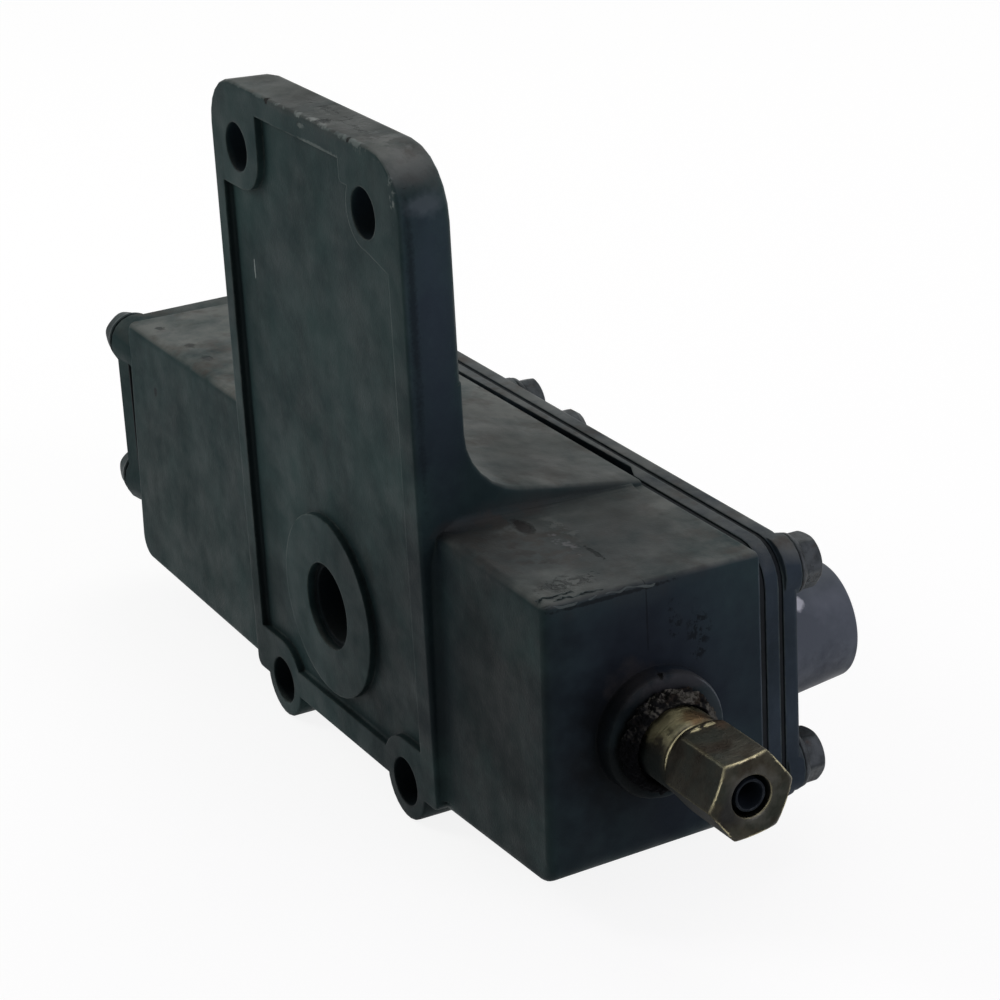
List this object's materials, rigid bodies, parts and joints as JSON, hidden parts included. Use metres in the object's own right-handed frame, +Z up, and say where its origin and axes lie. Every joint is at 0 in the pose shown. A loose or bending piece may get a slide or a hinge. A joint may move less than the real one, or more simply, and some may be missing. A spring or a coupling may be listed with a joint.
{
  "type": "transmission shift valve",
  "caption": "Pneumatic gearbox shift valve: long cast body with an upright bolting flange, brass air fitting, round electrical connector and bolted rear cover.",
  "frame": {"origin": "midpoint between the two lower bolt holes, on the mounting face", "axes": "+X along the valve body towards the brass fitting, +Y from the mounting face into the body, +Z up the flange"},
  "size_m": [0.2142, 0.0692, 0.1236],
  "materials": {
    "painted_casting": "worn dark grey paint on an aluminium die casting",
    "gasket": "black gasket",
    "dark_steel": "dull, oily steel",
    "ground_steel": "ground steel",
    "brass": "tarnished brass",
    "tube_plastic": "grey air tube",
    "sealant": "dried sealant",
    "seal_rubber": "matt rubber",
    "connector_plastic": "grey moulded plastic",
    "insert_plastic": "black moulded plastic",
    "tinned_contact": "tinned contact"
  },
  "bodies": {
    "valve": {"breather_plug": "dark_steel", "cap_bolt_1": "dark_steel", "cap_bolt_2": "dark_steel", "cap_bolt_3": "dark_steel", "cap_bolt_4": "dark_steel", "cap_gasket": "gasket", "connector_insert": "insert_plastic", "connector_pin_1": "tinned_contact", "connector_pin_2": "tinned_contact", "connector_pin_3": "tinned_contact", "connector_pin_4": "tinned_contact", "connector_seal": "seal_rubber", "connector_shell": "connector_plastic", "cover_bolt_1": "dark_steel", "cover_bolt_2": "dark_steel", "cover_bolt_3": "dark_steel", "cover_bolt_4": "dark_steel", "cover_bolt_5": "dark_steel", "cover_bolt_6": "dark_steel", "cover_gasket": "gasket", "end_cap": "painted_casting", "fitting_body": "brass", "fitting_nut": "brass", "fitting_tube": "tube_plastic", "housing": "painted_casting", "intermediate_plate": "painted_casting", "joint_gasket": "gasket", "rear_cover": "painted_casting", "return_spring": "dark_steel", "sealant_bead": "sealant"},
    "spool_body": {"spool": "ground_steel", "spool_seal_1": "seal_rubber", "spool_seal_2": "seal_rubber", "spool_seal_3": "seal_rubber", "spool_seal_4": "seal_rubber"}
  },
  "joints": [
    {"name": "spool_slide", "type": "slide", "parent": "valve", "child": "spool_body", "axis": [-1, 0, 0], "range_m": [0, 0.006], "stiffness_N_per_m": 2000, "springref_m": -0.004, "deforming": ["return_spring"]}
  ]
}
